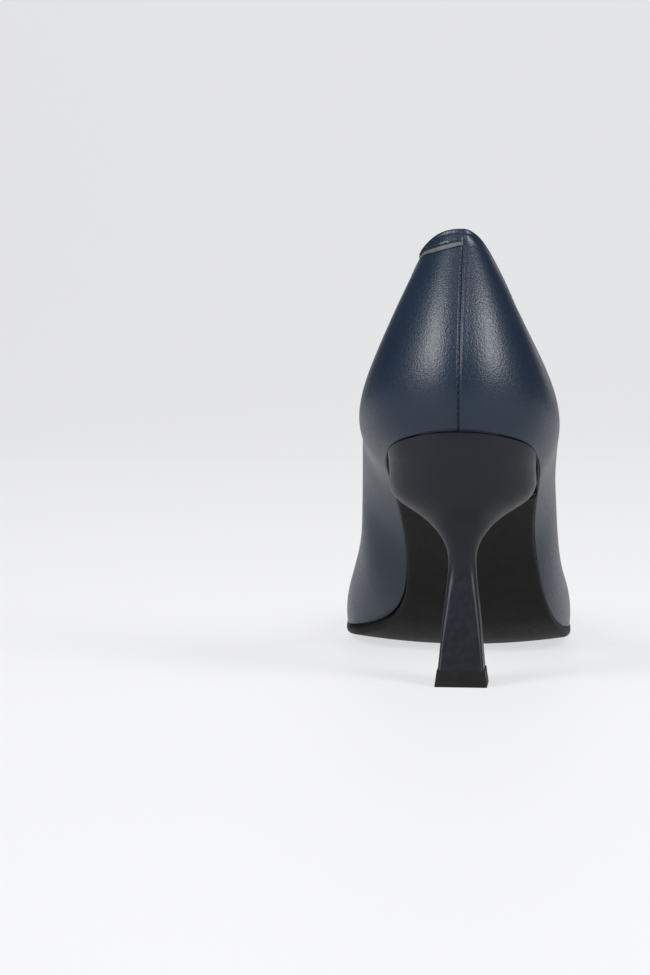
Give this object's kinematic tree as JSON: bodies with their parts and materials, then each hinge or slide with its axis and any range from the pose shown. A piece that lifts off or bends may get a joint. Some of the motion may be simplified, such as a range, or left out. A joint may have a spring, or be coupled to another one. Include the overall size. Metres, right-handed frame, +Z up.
{
  "type": "high heel pump",
  "caption": "Right-foot closed pump with a low-cut straight topline, soft pointed toe and a flared, waisted heel that is rectangular at its foot.",
  "frame": {"origin": "centre of the shoe's box, on the ground", "axes": "+Y from toe to heel, +Z up, +X towards the inner (medial) side of the foot"},
  "size_m": [0.079, 0.2318, 0.1381],
  "materials": {
    "upper_leather": "smooth dark blue leather with a fine grain and a soft satin sheen",
    "lining": "thin beige lining leather",
    "sock": "beige padded sock leather",
    "thread": "dark blue bonded sewing thread",
    "tape": "woven reinforcement cloth",
    "board": "fibre board and thermoplastic stiffener sheet",
    "foam": "soft latex foam",
    "filler": "cork and felt filler",
    "steel": "plain steel",
    "sole": "thin matt black sole sheet",
    "heel_plastic": "moulded heel, lacquered dark blue, satin",
    "top_lift": "hard black polyurethane, matt"
  },
  "bodies": {
    "root": {"upper_leather": "upper_leather", "back_tab": "upper_leather", "topline_tape": "tape", "heel_counter": "board", "toe_puff": "board", "quarter_backing_outer": "tape", "quarter_backing_inner": "tape", "quarter_lining": "lining", "vamp_lining": "lining", "lining_back_strip": "lining", "back_seam_stitching": "thread", "insole_board": "board", "foam_pad": "foam", "sock_lining": "sock", "shank": "steel", "shank_rivets": "steel", "bottom_filler": "filler", "outsole": "sole", "heel": "heel_plastic", "heel_tube": "steel", "heel_nails": "steel", "heel_screw": "steel", "top_lift": "top_lift", "top_lift_dowel": "steel"}
  },
  "joints": []
}
